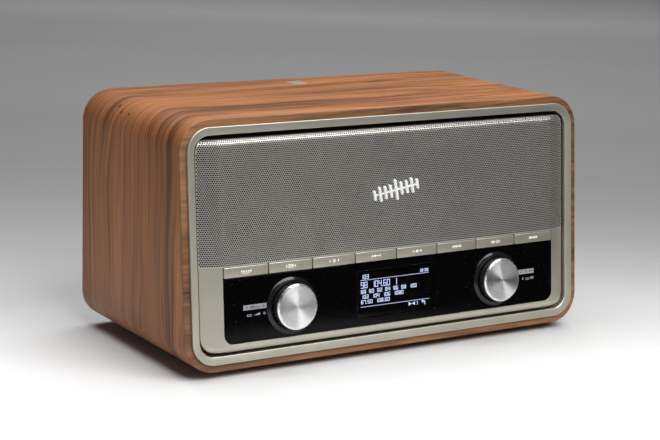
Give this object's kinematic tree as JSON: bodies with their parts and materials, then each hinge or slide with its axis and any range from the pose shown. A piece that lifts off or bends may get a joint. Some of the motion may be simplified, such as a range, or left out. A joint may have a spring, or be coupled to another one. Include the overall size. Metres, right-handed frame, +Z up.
{
  "type": "tabletop radio",
  "caption": "Wooden tabletop radio with a leaning metal front, pierced grille, row of keys, two knobs, dark display panel and a folding telescopic aerial.",
  "frame": {"origin": "on the floor, at the middle of the outline in X and Y, under the rubber feet", "axes": "+Z up, front faces -Y, +X to the right seen from the front along the width"},
  "size_m": [0.3, 0.174, 0.1576],
  "materials": {
    "wood": "satin lacquered veneer with a straight dark grain",
    "wood_edge": "satin",
    "satin_metal": "fine brushed, warm champagne tone",
    "pierced_metal": "satin sheet with small staggered holes",
    "black_plastic": "fine textured",
    "dark_panel": "polished black",
    "lens": "smoked, polished",
    "cloth": "open weave",
    "bright_metal": "spun and polished",
    "dark_metal": "dark polished",
    "steel": "zinc plated",
    "brass": "plain",
    "rubber": "matt",
    "cone_paper": "coated black",
    "circuit_board": "green solder mask"
  },
  "bodies": {
    "cabinet": {"shell": "wood", "front_lipping": "wood_edge", "glue_blocks": "wood_edge", "top_plate": "satin_metal", "feet": "rubber", "foot_screws": "steel", "bezel": "satin_metal", "baffle": "black_plastic", "grille": "pierced_metal", "grille_cloth": "cloth", "emblem": "bright_metal", "fascia": "satin_metal", "control_panel": "dark_panel", "display_lens": "lens", "display_module": "black_plastic", "key_carrier": "black_plastic", "front_board": "circuit_board", "key_switches": "black_plastic", "knob_rings": "dark_metal", "encoders": "steel", "encoder_nuts": "steel", "left_frame": "dark_metal", "left_magnet": "steel", "left_cone": "cone_paper", "left_surround": "rubber", "right_frame": "dark_metal", "right_magnet": "steel", "right_cone": "cone_paper", "right_surround": "rubber", "driver_screws": "steel", "rear_panel": "black_plastic", "rear_screws": "steel", "bass_port": "black_plastic", "power_inlet": "black_plastic", "audio_sockets": "black_plastic", "main_board": "circuit_board", "board_posts": "brass", "radio_can": "steel", "heat_sink": "dark_metal", "aerial_base": "black_plastic"},
    "volume_push": {"volume_plunger": "black_plastic"},
    "volume_knob": {"volume_cap": "bright_metal", "volume_skirt": "dark_metal", "volume_spindle": "steel"},
    "select_push": {"select_plunger": "black_plastic"},
    "select_knob": {"select_cap": "bright_metal", "select_skirt": "dark_metal", "select_spindle": "steel"},
    "aerial_swivel_part": {"aerial_knuckle": "bright_metal"},
    "aerial_arm": {"aerial_sleeve": "bright_metal"},
    "aerial_second": {"aerial_middle": "bright_metal"},
    "aerial_last": {"aerial_tip": "bright_metal"},
    "key_mode_body": {"key_mode": "satin_metal"},
    "key_menu_body": {"key_menu": "satin_metal"},
    "key_info_body": {"key_info": "satin_metal"},
    "key_back_body": {"key_back": "satin_metal"},
    "key_preset_body": {"key_preset": "satin_metal"},
    "key_previous_body": {"key_previous": "satin_metal"},
    "key_play_body": {"key_play": "satin_metal"},
    "key_next_body": {"key_next": "satin_metal"}
  },
  "joints": [
    {"name": "key_mode_press", "type": "slide", "parent": "cabinet", "child": "key_mode_body", "axis": [0, 0.9954, -0.0958], "range_m": [0, 0.0008], "stiffness_N_per_m": 500, "springref_m": -0.0005},
    {"name": "key_menu_press", "type": "slide", "parent": "cabinet", "child": "key_menu_body", "axis": [0, 0.9954, -0.0958], "range_m": [0, 0.0008], "stiffness_N_per_m": 500, "springref_m": -0.0005},
    {"name": "key_info_press", "type": "slide", "parent": "cabinet", "child": "key_info_body", "axis": [0, 0.9954, -0.0958], "range_m": [0, 0.0008], "stiffness_N_per_m": 500, "springref_m": -0.0005},
    {"name": "key_back_press", "type": "slide", "parent": "cabinet", "child": "key_back_body", "axis": [0, 0.9954, -0.0958], "range_m": [0, 0.0008], "stiffness_N_per_m": 500, "springref_m": -0.0005},
    {"name": "key_preset_press", "type": "slide", "parent": "cabinet", "child": "key_preset_body", "axis": [0, 0.9954, -0.0958], "range_m": [0, 0.0008], "stiffness_N_per_m": 500, "springref_m": -0.0005},
    {"name": "key_previous_press", "type": "slide", "parent": "cabinet", "child": "key_previous_body", "axis": [0, 0.9954, -0.0958], "range_m": [0, 0.0008], "stiffness_N_per_m": 500, "springref_m": -0.0005},
    {"name": "key_play_press", "type": "slide", "parent": "cabinet", "child": "key_play_body", "axis": [0, 0.9954, -0.0958], "range_m": [0, 0.0008], "stiffness_N_per_m": 500, "springref_m": -0.0005},
    {"name": "key_next_press", "type": "slide", "parent": "cabinet", "child": "key_next_body", "axis": [0, 0.9954, -0.0958], "range_m": [0, 0.0008], "stiffness_N_per_m": 500, "springref_m": -0.0005},
    {"name": "volume_press", "type": "slide", "parent": "cabinet", "child": "volume_push", "axis": [0, 0.9954, -0.0958], "range_m": [0, 0.0006], "stiffness_N_per_m": 1200, "springref_m": -0.0008},
    {"name": "volume_turn", "type": "hinge", "parent": "volume_push", "child": "volume_knob", "pos_m": [-0.0783, -0.08575, 0.04223], "axis": [0, -0.9954, 0.0958], "continuous": true},
    {"name": "select_press", "type": "slide", "parent": "cabinet", "child": "select_push", "axis": [0, 0.9954, -0.0958], "range_m": [0, 0.0006], "stiffness_N_per_m": 1200, "springref_m": -0.0008},
    {"name": "select_turn", "type": "hinge", "parent": "select_push", "child": "select_knob", "pos_m": [0.0783, -0.08575, 0.04223], "axis": [0, -0.9954, 0.0958], "continuous": true},
    {"name": "aerial_swivel", "type": "hinge", "parent": "cabinet", "child": "aerial_swivel_part", "pos_m": [0.118, 0.07122, 0.1334], "axis": [0, 1, 0], "range_deg": [0, 180]},
    {"name": "aerial_tilt", "type": "hinge", "parent": "aerial_swivel_part", "child": "aerial_arm", "pos_m": [0.118, 0.08303, 0.1334], "axis": [0, 0, -1], "range_deg": [0, 90]},
    {"name": "aerial_draw_middle", "type": "slide", "parent": "aerial_arm", "child": "aerial_second", "axis": [-1, 0, 0], "range_m": [0, 0.14]},
    {"name": "aerial_draw_tip", "type": "slide", "parent": "aerial_second", "child": "aerial_last", "axis": [-1, 0, 0], "range_m": [0, 0.14]}
  ]
}
